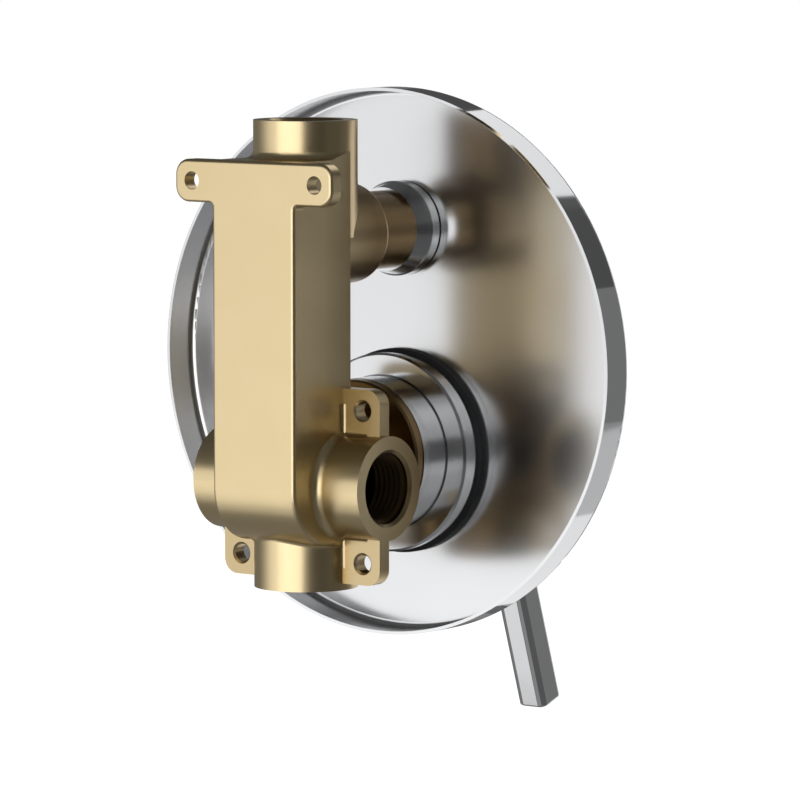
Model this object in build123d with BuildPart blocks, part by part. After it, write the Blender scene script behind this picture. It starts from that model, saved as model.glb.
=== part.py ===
from build123d import *
from math import cos, sin, radians, sqrt
import os

os.makedirs("parts", exist_ok=True)

# Concealed bath mixer with two outlets, in millimetres.
# The origin is the point where the axes of the four pipe ends cross.
# +X is right seen from the room, +Y points into the wall, +Z is up.

# Pipe ends of the casting
PIPE_R = 15.4
PORT_R = 10.48
PORT_DEPTH = 15.0
PORT_CHAMFER = 0.95
INLET_REACH = 30.4
TOP_REACH = 107.2
BOTTOM_REACH = 30.9
ROOT_FLARE = 2.5
CAST_R = 1.2

# Flat bar behind the pipes, and its two ears
BAR_WIDTH = 30.0
BAR_DEPTH = 26.7
BAR_BACK = 25.4
BAR_BOTTOM = -17.0
BAR_HEEL_R = 16.8
BAR_EDGE = 1.0
BAR_COVER = 0.1
TOP_NECK = 11.3
EAR_ROOT_R = 1.5

# Lugs between the pipes, and the same holes, thickness and corners at the ears
HOLE_R = 2.7
LUG_SPACING = 45.1
LUG_MARGIN = 6.3
LUG_THICKNESS = 4.6
LUG_CORNER_R = 4.6
ROOT_DEPTH = 2.0
COUNTERSINK_R = 3.3

# Cartridge chamber
CARTRIDGE_Z = 5.45
NECK_R = 16.0
SHOULDER_INSET = 0.3
CHAMBER_WALL = 2.0
CHAMBER_BACK = -24.1
CHAMBER_BACK_EDGE = 0.6
CHAMBER_FLOOR = 4.5
SHOULDER_LENGTH = 3.2
CHAMBER_FRONT = -53.0

# Diverter boss and neck
DIVERTER_DROP = 34.35
BOSS_R = 15.0
BOSS_FRONT = -22.1
BOSS_EDGE = 2.0
DIVERTER_NECK_R = 11.7
DIVERTER_THREAD_R = 11.0
DIVERTER_NECK_FRONT = -38.1
DIVERTER_MOUTH = -45.0
DIVERTER_BORE_R = 8.6
DIVERTER_BORE_END = 7.0

# Water ways inside the casting
INLET_WAY_R = 6.0
PORT_X = 6.6
PORT_WAY_R = 3.6
MIXED_PORT_UP = 8.0
CHANNEL_R = 4.2
CHANNEL_X = 8.5
CHANNEL_Y = 14.0
CHANNEL_STEP = 2.5
LINK_R = 3.2
OUTLET_WAY_R = 6.0
DIVERTER_IN_X = 2.0
DIVERTER_OUT_X = 7.3
BOTTOM_WAY_Z = -11.5
BOTTOM_WAY_R = 5.0

# Wall plate, pressed from sheet
PLATE_R = 82.5
PLATE_DEPTH = 12.0
PLATE_SHEET = 1.0
PLATE_BEND_R = 1.6
PLATE_LIP = -36.85
PLATE_Z = 32.9

# Sleeve, ring and gasket behind the plate
SLEEVE_R = 23.3
SLEEVE_WALL = 1.0
SLEEVE_OPENING_R = 11.8
RING_WALL = 2.2
RING_FLANGE = 4.6
RING_FRONT_INSET = 0.2
RING_FACE_EDGE = 0.7
RING_BORE_EDGE = 0.35
RING_LENGTH = 7.15
RING_STEP = 3.1
RING_GROOVE = 0.4
GASKET_LIP = 0.9
GASKET_THICKNESS = 2.1
SLEEVE_SEAL = 1.8

# Diverter collar behind the plate
COLLAR_FACE_R = 12.6
COLLAR_CONE_R = 13.9
COLLAR_R = 14.3
COLLAR_BODY = 3.8
COLLAR_SPIGOT_R = 12.3
COLLAR_SEAL_R = 14.2
COLLAR_SEAL_THICKNESS = 0.5
SPIGOT_PROUD = 1.0

# Cartridge
PIVOT_Y = -54.0
BASE_THICKNESS = 5.0
HOUSING_WALL = 3.4
FIXED_DISC_THICKNESS = 3.5
DISC_MARGIN = 1.5
MOVING_DISC_THICKNESS = 2.6
CARRIER_THICKNESS = 6.0
HOUSING_SHOULDER = -48.0
HOUSING_FRONT = -58.6
GUIDE_STEP = 1.2
GUIDE_FRONT = -59.4
NUT_HEAD = 3.2
NUT_INSET = 1.0
NUT_NOTCHES = 6
NUT_NOTCH_WIDTH = 4.0
BASE_SEAL_WIDTH = 1.4
BASE_SEAL_THICKNESS = 1.4
DISC_PORT_R = 2.6
MIXING_POCKET_UP = 2.0
MIXING_POCKET_WIDTH = 16.0
MIXING_POCKET_HEIGHT = 12.0
MIXING_POCKET_CORNER = 3.0
MIXING_POCKET_DEPTH = 1.3
CARRIER_HALF_WIDTH = 9.0
HOUSING_STEP = 2.8
GUIDE_SLOT_HEIGHT = 13.0
SKIRT_LENGTH = 4.0

# Stem: tilted with the valve shut, and swung the other way with it open
STEM_TILT = 12.5
STEM_REACH = 33.0
STEM_SQUARE = 8.0
STEM_BALL_R = 2.8
STEM_ARM = 10.5
STEM_EYE_R = 4.2
STEM_NECK_R = 2.0
PIN_R = 1.5
PIN_INSET = 1.4

# Handle and lever
HANDLE_BACK = -66.6
HANDLE_FRONT = -108.6
HANDLE_EDGE = 1.5
DOME_GAP = 0.7
STEM_SOCKET = 34.0
LEVER_SECTION = 10.4
LEVER_CORNER_R = 2.5
LEVER_TILT = 18.9
LEVER_AXIS_Y = -91.7
LEVER_END = 90.7
LEVER_SEAT = 14.0
LEVER_STUD_R = 3.0
LEVER_STUD_LENGTH = 6.0
LEVER_END_EDGE = 0.8
GRUB_R = 2.5
GRUB_LENGTH = 10.0
GRUB_AT = 27.0
GRUB_SOCKET_R = 1.45
GRUB_SOCKET_DEPTH = 3.0
PLUG_R = 3.0
PLUG_THICKNESS = 2.0
PLUG_AT = 15.6

# Diverter cartridge and knob
SHELL_WALL = 2.4
SHELL_FRONT = -39.0
SHELL_SLOT_WIDTH = 8.0
SHELL_SEAL = 1.4
SHELL_SEAL_Y = -20.0
ROTOR_LENGTH = 15.0
ROTOR_PORT_R = 3.6
ROTOR_CAVITY_R = 4.0
ROTOR_CAVITY_DEPTH = 11.0
SPINDLE_R = 3.5
SPINDLE_FRONT = -66.0
SPINDLE_FLANGE = 3.0
TONGUE_LENGTH = 2.5
TONGUE_WIDTH = 3.0
SPINDLE_FLAT = 2.6
SPINDLE_FLAT_LENGTH = 14.0
SPINDLE_SEAL = 1.2
SPINDLE_SEAL_Y = -24.0
CLIP_THICKNESS = 0.8
CLIP_R = 5.2
CLIP_MOUTH = 4.4
GLAND_HEAD = 3.0
GLAND_FLATS = 18.0
KNOB_R = 17.0
KNOB_GAP = 2.2
KNOB_SKIRT = 8.0
KNOB_GRIP = 15.0
KNOB_GRIP_WIDTH = 12.0
KNOB_EDGE = 1.0
KNOB_GRUB_R = 2.0
KNOB_GRUB_LENGTH = 8.0
KNOB_GRUB_SOCKET_R = 1.15
KNOB_GRUB_SOCKET_DEPTH = 2.5

# Fits, and how near counts as the same place when edges are picked
FIT = 0.1
RUN = 0.05
GAP = 0.3
TOUCH = 0.01

# Places worked out from the sizes above
BAR_FRONT = BAR_BACK - BAR_DEPTH
BAR_TOP = TOP_REACH - TOP_NECK
BAR_TAPER = (PIPE_R + BAR_COVER - BAR_WIDTH / 2) / BAR_BACK
BAR_FRONT_HALF = BAR_WIDTH / 2 + BAR_TAPER * BAR_DEPTH
FLARE_BASE = BAR_WIDTH / 2 + BAR_TAPER * (BAR_BACK - PIPE_R - ROOT_FLARE)
EAR_HOLE_Z = BAR_TOP - LUG_MARGIN
LUG_HALF = LUG_SPACING / 2 + LUG_MARGIN
DIVERTER_Z = TOP_REACH - DIVERTER_DROP
PLATE_FRONT = PLATE_LIP - PLATE_DEPTH
PLATE_BACK = PLATE_FRONT + PLATE_SHEET
GASKET_BACK = PLATE_BACK + GASKET_THICKNESS
RING_BACK = GASKET_BACK + RING_LENGTH
COLLAR_FRONT = PLATE_BACK + COLLAR_SEAL_THICKNESS
FLOOR_Y = CHAMBER_BACK - CHAMBER_FLOOR
SHOULDER_Y = CHAMBER_BACK - SHOULDER_LENGTH
CHAMBER_R = SLEEVE_R - SHOULDER_INSET
SLEEVE_BORE_R = SLEEVE_R - SLEEVE_WALL
THREAD_R = SLEEVE_BORE_R - FIT
CHAMBER_BORE_R = THREAD_R - CHAMBER_WALL
CARTRIDGE_R = CHAMBER_BORE_R - 2 * FIT
HOUSING_NECK_R = CARTRIDGE_R - HOUSING_STEP
DISC_R = CARTRIDGE_R - HOUSING_WALL
GUIDE_R = DISC_R - GUIDE_STEP
NUT_HEAD_R = SLEEVE_BORE_R - NUT_INSET
RING_BORE_R = SLEEVE_R + FIT
RING_SPIGOT_R = SLEEVE_R + RING_WALL
RING_R = RING_SPIGOT_R + RING_FLANGE
RING_FRONT_R = RING_R - RING_FRONT_INSET
GASKET_R = RING_R + GASKET_LIP
HANDLE_R = SLEEVE_R
BASE_FRONT = FLOOR_Y - BASE_THICKNESS
FIXED_FRONT = BASE_FRONT - FIXED_DISC_THICKNESS
MOVING_BACK = FIXED_FRONT - RUN
MOVING_FRONT = MOVING_BACK - MOVING_DISC_THICKNESS
CARRIER_FRONT = MOVING_FRONT - CARRIER_THICKNESS
GUIDE_BACK = CARRIER_FRONT - GAP
BALL_RISE = STEM_ARM * sin(radians(STEM_TILT))
MOVING_DISC_R = DISC_R - BALL_RISE - DISC_MARGIN
MIXED_PORT_Z = CARTRIDGE_Z + MIXED_PORT_UP
PORTS = [(-PORT_X, 0), (PORT_X, 0), (0, MIXED_PORT_Z)]
SHELL_R = DIVERTER_BORE_R - FIT
SHELL_BORE_R = SHELL_R - SHELL_WALL
ROTOR_R = SHELL_BORE_R - RUN
ROTOR_BACK = DIVERTER_BORE_END - GAP
ROTOR_FRONT = ROTOR_BACK - ROTOR_LENGTH
FLANGE_FRONT = ROTOR_FRONT - SPINDLE_FLANGE
CLIP_Y = SHELL_FRONT - GAP
KNOB_BACK = PLATE_FRONT - KNOB_GAP
KNOB_SKIRT_FRONT = KNOB_BACK - KNOB_SKIRT
KNOB_GRUB_Y = KNOB_BACK - KNOB_SKIRT / 2

CARTRIDGE_AXIS = Axis((0, 0, CARTRIDGE_Z), (0, 1, 0))
DIVERTER_AXIS = Axis((0, 0, DIVERTER_Z), (0, 1, 0))
STEM_PLANE = Plane(
    origin=(0, PIVOT_Y, CARTRIDGE_Z),
    x_dir=(1, 0, 0),
    z_dir=(0, -cos(radians(STEM_TILT)), -sin(radians(STEM_TILT))),
)
GRUB_PLANE = Plane(
    origin=STEM_PLANE.offset(GRUB_AT).origin,
    x_dir=(1, 0, 0),
    z_dir=(0, sin(radians(STEM_TILT)), -cos(radians(STEM_TILT))),
)
LEVER_PLANE = Plane(
    origin=(0, LEVER_AXIS_Y, CARTRIDGE_Z),
    x_dir=(1, 0, 0),
    z_dir=(0, -sin(radians(LEVER_TILT)), -cos(radians(LEVER_TILT))),
)


def turned(points, z, mode=Mode.ADD):
    """Turn a closed outline of (radius, y) points about the line along Y at height z."""
    with BuildSketch(Plane.XY.offset(z)) as profile:
        with BuildLine():
            Polyline(*points, close=True)
        make_face()
    revolve(profile.sketch, axis=Axis((0, 0, z), (0, 1, 0)), mode=mode)


def tube(radius, start, end, z, bore=0.0, mode=Mode.ADD):
    """A cylinder or tube along Y from start to end at height z."""
    turned([(bore, start), (radius, start), (radius, end), (bore, end)], z, mode)


def way(start, end, radius):
    """Drill a round water way from one point to another."""
    line = Vector(*end) - Vector(*start)
    with BuildSketch(Plane(origin=start, z_dir=line)) as section:
        Circle(radius)
    extrude(section.sketch, amount=line.length, mode=Mode.SUBTRACT)


def pipe_end(plane, reach, depth):
    """Bore a pipe end from its mouth, with a chamfer for the thread."""
    with BuildSketch(plane.offset(reach)) as bore:
        Circle(PORT_R)
    extrude(bore.sketch, amount=-depth, mode=Mode.SUBTRACT)
    with BuildSketch(plane.offset(reach)) as mouth:
        Circle(PORT_R + PORT_CHAMFER)
    extrude(mouth.sketch, amount=-PORT_CHAMFER, taper=45, mode=Mode.SUBTRACT)


UP = Plane.XY
DOWN = Plane(origin=(0, 0, 0), x_dir=(1, 0, 0), z_dir=(0, 0, -1))
RIGHT = Plane(origin=(0, 0, 0), x_dir=(0, 1, 0), z_dir=(1, 0, 0))
LEFT = Plane(origin=(0, 0, 0), x_dir=(0, -1, 0), z_dir=(-1, 0, 0))

# Bar from the side, and from above with its draft
with BuildSketch(Plane.YZ) as bar_profile:
    with BuildLine():
        heel_start = (BAR_BACK - BAR_HEEL_R, BAR_BOTTOM)
        heel_end = (BAR_BACK, BAR_BOTTOM + BAR_HEEL_R)
        Line((BAR_FRONT, BAR_BOTTOM), heel_start)
        RadiusArc(heel_start, heel_end, -BAR_HEEL_R)
        Polyline(heel_end, (BAR_BACK, BAR_TOP), (BAR_FRONT, BAR_TOP), (BAR_FRONT, BAR_BOTTOM))
    make_face()

with BuildSketch() as bar_plan:
    with BuildLine():
        Polyline(
            (-BAR_WIDTH / 2, BAR_BACK),
            (BAR_WIDTH / 2, BAR_BACK),
            (BAR_FRONT_HALF, BAR_FRONT),
            (-BAR_FRONT_HALF, BAR_FRONT),
            close=True,
        )
    make_face()

# Casting radii where the pipe ends leave the bar
with BuildPart() as side_flares:
    with BuildSketch(Plane.XY):
        with BuildLine():
            on_bar = (FLARE_BASE, PIPE_R + ROOT_FLARE)
            on_pipe = (FLARE_BASE + ROOT_FLARE, PIPE_R)
            Polyline(on_bar, (FLARE_BASE, PIPE_R), on_pipe)
            RadiusArc(on_pipe, on_bar, ROOT_FLARE)
        make_face()
    revolve(axis=Axis.X)
    mirror(about=Plane.YZ)
    extrude(bar_profile.sketch, amount=FLARE_BASE + ROOT_FLARE, both=True, mode=Mode.INTERSECT)

with BuildPart() as top_flare:
    with BuildSketch(Plane.XZ):
        with BuildLine():
            above_bar = (PIPE_R + ROOT_FLARE, BAR_TOP)
            up_pipe = (PIPE_R, BAR_TOP + ROOT_FLARE)
            Polyline(above_bar, (PIPE_R, BAR_TOP), up_pipe)
            RadiusArc(up_pipe, above_bar, -ROOT_FLARE)
        make_face()
    revolve(axis=Axis.Z)
    extrude(bar_plan.sketch, amount=BAR_TOP + ROOT_FLARE, mode=Mode.INTERSECT)

# Casting radius where the lower pipe end leaves the heel
with BuildPart() as heel_flare:
    extrude(bar_profile.sketch, amount=PIPE_R + 2 * CAST_R, both=True)
    with BuildSketch():
        Circle(PIPE_R)
    extrude(amount=-BOTTOM_REACH)
    seams = [
        e
        for e in heel_flare.edges()
        if abs(Vector((e @ 0.5).X, (e @ 0.5).Y).length - PIPE_R) < TOUCH
        and BAR_BOTTOM - TOUCH < (e @ 0.5).Z < 0
        and (e @ 0.5).Y > BAR_FRONT + TOUCH
    ]
    fillet(seams, CAST_R)
    with BuildSketch(Plane.XY.offset(-BOTTOM_REACH)):
        Circle(PIPE_R + CAST_R)
    extrude(amount=BOTTOM_REACH, mode=Mode.INTERSECT)
    extrude(bar_plan.sketch, amount=-BOTTOM_REACH, mode=Mode.INTERSECT)

# Casting radii where the lugs leave the pipe ends and the bar
with BuildSketch() as pipe_root:
    ball_y = LUG_THICKNESS / 2 + CAST_R
    ball_x = sqrt((PIPE_R + CAST_R) ** 2 - ball_y**2)
    share = PIPE_R / (PIPE_R + CAST_R)
    with BuildLine():
        touch_lug = (ball_x, LUG_THICKNESS / 2)
        touch_pipe = (ball_x * share, ball_y * share)
        Polyline(
            touch_lug,
            (ball_x, 0),
            (PIPE_R - ROOT_DEPTH, 0),
            (PIPE_R - ROOT_DEPTH, ball_y),
            touch_pipe,
        )
        RadiusArc(touch_pipe, touch_lug, -CAST_R)
    make_face()
    mirror(about=Plane.YZ)
    mirror(about=Plane.XZ)

with BuildSketch() as bar_root:
    side_x = BAR_FRONT_HALF - BAR_TAPER * (ball_y - BAR_FRONT)
    with BuildLine():
        touch_lug = (side_x + CAST_R, LUG_THICKNESS / 2)
        touch_bar = (side_x, ball_y)
        Polyline(
            touch_lug,
            (side_x + CAST_R, 0),
            (PIPE_R - ROOT_DEPTH, 0),
            (PIPE_R - ROOT_DEPTH, ball_y),
            touch_bar,
        )
        RadiusArc(touch_bar, touch_lug, -CAST_R)
    make_face()
    mirror(about=Plane.YZ)

# Valve body, one brass casting
with BuildPart() as valve_body:
    # Bar, with its heel curved towards the lower outlet
    extrude(bar_profile.sketch, amount=BAR_FRONT_HALF, both=True)
    extrude(bar_plan.sketch, amount=TOP_REACH, both=True, mode=Mode.INTERSECT)
    # Ears at the top of the bar's back
    with BuildSketch(Plane.XZ.offset(-BAR_BACK)):
        with Locations((0, EAR_HOLE_Z)):
            Rectangle(2 * LUG_HALF, 2 * LUG_MARGIN)
    extrude(amount=LUG_THICKNESS)
    ear_corners = valve_body.edges().filter_by(Axis.Y).group_by(lambda e: abs(e.center().X))[-1]
    fillet(ear_corners, LUG_CORNER_R)
    ear_roots = valve_body.edges().filter_by(
        lambda e: e.length < LUG_THICKNESS + TOUCH
        and abs(e.center().Z - (EAR_HOLE_Z - LUG_MARGIN)) < TOUCH
        and abs(abs(e.center().X) - BAR_WIDTH / 2) < LUG_THICKNESS / 2
        and abs(e.center().Y - (BAR_BACK - LUG_THICKNESS / 2)) < TOUCH
    )
    fillet(ear_roots, EAR_ROOT_R)
    back_face = valve_body.faces().filter_by(Axis.Y).sort_by(Axis.Y)[-1]
    heel_line = back_face.edges().sort_by(Axis.Z)[0]
    rim = [e for e in back_face.edges() if e != heel_line]
    heel_face = valve_body.faces().filter_by(GeomType.CYLINDER).sort_by(Axis.Z)[0]
    heel_arcs = [e for e in heel_face.edges() if abs(e.center().X) > BAR_WIDTH / 2 - TOUCH]
    fillet(rim + heel_arcs, BAR_EDGE)
    # Pipe ends
    with BuildSketch(UP.offset(DIVERTER_Z)):
        Circle(PIPE_R)
    extrude(amount=TOP_REACH - DIVERTER_Z)
    with BuildSketch(UP):
        Circle(PIPE_R)
    extrude(amount=-BOTTOM_REACH)
    with BuildSketch(RIGHT):
        Circle(PIPE_R)
    extrude(amount=INLET_REACH, both=True)
    add(side_flares.part)
    add(top_flare.part)
    add(heel_flare.part)
    # Lugs in the plane of the pipe axes
    with BuildSketch(Plane.XZ):
        RectangleRounded(2 * LUG_HALF, 2 * LUG_HALF, LUG_CORNER_R)
    extrude(amount=LUG_THICKNESS / 2, both=True)
    root_length = LUG_HALF - LUG_CORNER_R - PIPE_R + ROOT_DEPTH
    extrude(pipe_root.sketch.moved(Location((0, 0, ROOT_DEPTH - PIPE_R))), amount=-root_length)
    extrude(bar_root.sketch.moved(Location((0, 0, PIPE_R - ROOT_DEPTH))), amount=root_length)
    side_root = pipe_root.sketch.rotate(Axis.Y, 90)
    extrude(side_root.moved(Location((PIPE_R - ROOT_DEPTH, 0, 0))), amount=root_length)
    extrude(side_root.moved(Location((ROOT_DEPTH - PIPE_R, 0, 0))), amount=-root_length)
    # Cartridge chamber on its neck, and the diverter boss
    turned([(0, 0), (NECK_R, 0), (NECK_R, CHAMBER_BACK), (0, CHAMBER_BACK)], CARTRIDGE_Z)
    turned(
        [
            (0, CHAMBER_BACK),
            (CHAMBER_R - CHAMBER_BACK_EDGE, CHAMBER_BACK),
            (CHAMBER_R, CHAMBER_BACK - CHAMBER_BACK_EDGE),
            (CHAMBER_R, SHOULDER_Y),
            (THREAD_R, SHOULDER_Y),
            (THREAD_R, CHAMBER_FRONT),
            (0, CHAMBER_FRONT),
        ],
        CARTRIDGE_Z,
    )
    turned(
        [
            (0, 0),
            (BOSS_R, 0),
            (BOSS_R, BOSS_FRONT),
            (DIVERTER_NECK_R, BOSS_FRONT),
            (DIVERTER_NECK_R, DIVERTER_NECK_FRONT),
            (DIVERTER_THREAD_R, DIVERTER_NECK_FRONT),
            (DIVERTER_THREAD_R, DIVERTER_MOUTH),
            (0, DIVERTER_MOUTH),
        ],
        DIVERTER_Z,
    )
    boss_rim = valve_body.edges().filter_by(GeomType.CIRCLE).filter_by(
        lambda e: abs(e.radius - BOSS_R) < TOUCH and abs(e.center().Y - BOSS_FRONT) < TOUCH
    )
    fillet(boss_rim, BOSS_EDGE)
    # Threaded pipe ends
    pipe_end(UP, TOP_REACH, PORT_DEPTH)
    pipe_end(DOWN, BOTTOM_REACH, PORT_DEPTH)
    pipe_end(RIGHT, INLET_REACH, PORT_DEPTH)
    pipe_end(LEFT, INLET_REACH, PORT_DEPTH)
    # Bores of the cartridge chamber and the diverter
    tube(CHAMBER_BORE_R, FLOOR_Y, CHAMBER_FRONT, CARTRIDGE_Z, mode=Mode.SUBTRACT)
    tube(DIVERTER_BORE_R, DIVERTER_BORE_END, DIVERTER_MOUTH, DIVERTER_Z, mode=Mode.SUBTRACT)
    # Ways from the inlets to the cartridge, and from it up the bar to the diverter
    for side in (-1, 1):
        way((side * (INLET_REACH - PORT_DEPTH), 0, 0), (side * PORT_X, 0, 0), INLET_WAY_R)
        way((side * PORT_X, 0, 0), (side * PORT_X, FLOOR_Y, 0), PORT_WAY_R)
    way((0, FLOOR_Y, MIXED_PORT_Z), (0, CHANNEL_Y - CHANNEL_STEP, MIXED_PORT_Z), LINK_R)
    way((0, CHANNEL_Y - CHANNEL_STEP, MIXED_PORT_Z), (-CHANNEL_X, CHANNEL_Y, MIXED_PORT_Z), LINK_R)
    way((-CHANNEL_X, CHANNEL_Y, MIXED_PORT_Z), (-CHANNEL_X, CHANNEL_Y, DIVERTER_Z), CHANNEL_R)
    way((-CHANNEL_X, CHANNEL_Y, DIVERTER_Z), (-DIVERTER_IN_X, DIVERTER_BORE_END, DIVERTER_Z), LINK_R)
    # Ways from the diverter to both outlets
    way((0, 0, TOP_REACH - PORT_DEPTH), (0, 0, DIVERTER_Z), OUTLET_WAY_R)
    way((CHANNEL_X, CHANNEL_Y, DIVERTER_Z), (DIVERTER_OUT_X, DIVERTER_BORE_END, DIVERTER_Z), LINK_R)
    way((CHANNEL_X, CHANNEL_Y, DIVERTER_Z), (CHANNEL_X, CHANNEL_Y, BOTTOM_WAY_Z), CHANNEL_R)
    way((CHANNEL_X, CHANNEL_Y, BOTTOM_WAY_Z), (0, 0, BOTTOM_WAY_Z), LINK_R)
    way((0, 0, PORT_DEPTH - BOTTOM_REACH), (0, 0, BOTTOM_WAY_Z), BOTTOM_WAY_R)
    # Holes of the ears and lugs, the lugs' countersunk from behind
    with BuildSketch(Plane.XZ.offset(-BAR_BACK)):
        with Locations((0, EAR_HOLE_Z)):
            with GridLocations(LUG_SPACING, 0, 2, 1):
                Circle(HOLE_R)
    extrude(amount=LUG_THICKNESS, mode=Mode.SUBTRACT)
    with BuildSketch(Plane.XZ.offset(-LUG_THICKNESS / 2)):
        with GridLocations(LUG_SPACING, LUG_SPACING, 2, 2):
            Circle(HOLE_R)
    extrude(amount=LUG_THICKNESS, mode=Mode.SUBTRACT)
    with BuildSketch(Plane.XZ.offset(-LUG_THICKNESS / 2)):
        with GridLocations(LUG_SPACING, LUG_SPACING, 2, 2):
            Circle(COUNTERSINK_R)
    extrude(amount=COUNTERSINK_R - HOLE_R, taper=45, mode=Mode.SUBTRACT)
valve_body.part.label = "valve_body"
export_step(valve_body.part, "parts/valve_body.step")

# Cartridge: base with its seals, ceramic discs, carrier, guide, stem and pin in a housing
with BuildPart() as cartridge_base:
    tube(CARTRIDGE_R, FLOOR_Y, BASE_FRONT, CARTRIDGE_Z)
    for port in PORTS:
        way((port[0], FLOOR_Y, port[1]), (port[0], BASE_FRONT, port[1]), PORT_WAY_R)
        with BuildSketch(Plane.XZ.offset(-FLOOR_Y)) as groove:
            with Locations(port):
                Circle(PORT_WAY_R + BASE_SEAL_WIDTH + FIT)
        extrude(groove.sketch, amount=BASE_SEAL_THICKNESS, mode=Mode.SUBTRACT)
cartridge_base.part.label = "cartridge_base"
export_step(cartridge_base.part, "parts/cartridge_base.step")

with BuildPart() as base_seals:
    with BuildSketch(Plane.XZ.offset(-FLOOR_Y)):
        with Locations(*PORTS):
            Circle(PORT_WAY_R + BASE_SEAL_WIDTH)
            Circle(PORT_WAY_R, mode=Mode.SUBTRACT)
    extrude(amount=BASE_SEAL_THICKNESS)
base_seals.part.label = "base_seals"
export_step(base_seals.part, "parts/base_seals.step")

with BuildPart() as fixed_disc:
    tube(DISC_R, BASE_FRONT, FIXED_FRONT, CARTRIDGE_Z)
    for port in PORTS:
        way((port[0], BASE_FRONT, port[1]), (port[0], FIXED_FRONT, port[1]), DISC_PORT_R)
fixed_disc.part.label = "fixed_disc"
export_step(fixed_disc.part, "parts/fixed_disc.step")

with BuildPart() as moving_disc:
    tube(MOVING_DISC_R, MOVING_BACK, MOVING_FRONT, CARTRIDGE_Z + BALL_RISE)
    with BuildSketch(Plane.XZ.offset(-MOVING_BACK)):
        with Locations((0, CARTRIDGE_Z + BALL_RISE + MIXING_POCKET_UP)):
            RectangleRounded(MIXING_POCKET_WIDTH, MIXING_POCKET_HEIGHT, MIXING_POCKET_CORNER)
    extrude(amount=MIXING_POCKET_DEPTH, mode=Mode.SUBTRACT)
moving_disc.part.label = "moving_disc"
export_step(moving_disc.part, "parts/moving_disc.step")

with BuildPart() as disc_carrier:
    with BuildSketch(Plane.XZ.offset(-MOVING_FRONT)):
        with Locations((0, CARTRIDGE_Z + BALL_RISE)):
            Circle(MOVING_DISC_R)
            Rectangle(2 * CARRIER_HALF_WIDTH, 2 * MOVING_DISC_R, mode=Mode.INTERSECT)
    extrude(amount=CARRIER_THICKNESS)
    with BuildSketch(Plane.XZ.offset(-CARRIER_FRONT)):
        with Locations((0, CARTRIDGE_Z + BALL_RISE)):
            Circle(STEM_BALL_R + GAP)
    extrude(amount=-(PIVOT_Y + STEM_ARM + STEM_BALL_R + GAP - CARRIER_FRONT), mode=Mode.SUBTRACT)
disc_carrier.part.label = "disc_carrier"
export_step(disc_carrier.part, "parts/disc_carrier.step")

with BuildPart() as cartridge_housing:
    turned(
        [
            (DISC_R + FIT, BASE_FRONT),
            (CARTRIDGE_R, BASE_FRONT),
            (CARTRIDGE_R, HOUSING_SHOULDER),
            (HOUSING_NECK_R, HOUSING_SHOULDER),
            (HOUSING_NECK_R, HOUSING_FRONT),
            (GUIDE_R + RUN, HOUSING_FRONT),
            (GUIDE_R + RUN, FIXED_FRONT - GAP),
            (DISC_R + FIT, FIXED_FRONT - GAP),
        ],
        CARTRIDGE_Z,
    )
cartridge_housing.part.label = "cartridge_housing"
export_step(cartridge_housing.part, "parts/cartridge_housing.step")

with BuildPart() as stem_guide:
    tube(GUIDE_R, GUIDE_BACK, GUIDE_FRONT, CARTRIDGE_Z)
    # Skirt walls on both sides of the carrier turn it with the guide
    with BuildSketch(Plane.XZ.offset(-GUIDE_BACK)) as skirt:
        with Locations((0, CARTRIDGE_Z)):
            Circle(GUIDE_R)
            Rectangle(2 * (CARRIER_HALF_WIDTH + RUN), 2 * GUIDE_R, mode=Mode.SUBTRACT)
    extrude(skirt.sketch, amount=-SKIRT_LENGTH)
    # Slot in which the stem swings
    with BuildSketch(Plane.XZ.offset(-GUIDE_BACK)) as slot:
        with Locations((0, CARTRIDGE_Z)):
            Rectangle(STEM_SQUARE + 2 * RUN, GUIDE_SLOT_HEIGHT)
    extrude(slot.sketch, amount=GUIDE_BACK - GUIDE_FRONT, mode=Mode.SUBTRACT)
    with BuildSketch(Plane.YZ.offset(-GUIDE_R)) as pin_hole:
        with Locations((PIVOT_Y, CARTRIDGE_Z)):
            Circle(PIN_R + FIT / 2)
    extrude(pin_hole.sketch, amount=2 * GUIDE_R, mode=Mode.SUBTRACT)
stem_guide.part.label = "stem_guide"
export_step(stem_guide.part, "parts/stem_guide.step")

with BuildPart() as stem_pin:
    with BuildSketch(Plane.YZ):
        with Locations((PIVOT_Y, CARTRIDGE_Z)):
            Circle(PIN_R)
    extrude(amount=GUIDE_R - PIN_INSET, both=True)
stem_pin.part.label = "stem_pin"
export_step(stem_pin.part, "parts/stem_pin.step")

with BuildPart() as cartridge_stem:
    with BuildSketch(STEM_PLANE):
        Rectangle(STEM_SQUARE, STEM_SQUARE)
    extrude(amount=STEM_REACH)
    with BuildSketch(Plane.YZ):
        with Locations((PIVOT_Y, CARTRIDGE_Z)):
            Circle(STEM_EYE_R)
    extrude(amount=STEM_SQUARE / 2, both=True)
    with BuildSketch(STEM_PLANE):
        Circle(STEM_NECK_R)
    extrude(amount=-STEM_ARM)
    with Locations(STEM_PLANE.offset(-STEM_ARM).origin):
        Sphere(STEM_BALL_R)
    with BuildSketch(Plane.YZ.offset(-STEM_SQUARE)):
        with Locations((PIVOT_Y, CARTRIDGE_Z)):
            Circle(PIN_R + RUN)
    extrude(amount=2 * STEM_SQUARE, mode=Mode.SUBTRACT)
cartridge_stem.part.label = "cartridge_stem"
export_step(cartridge_stem.part, "parts/cartridge_stem.step")

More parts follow.
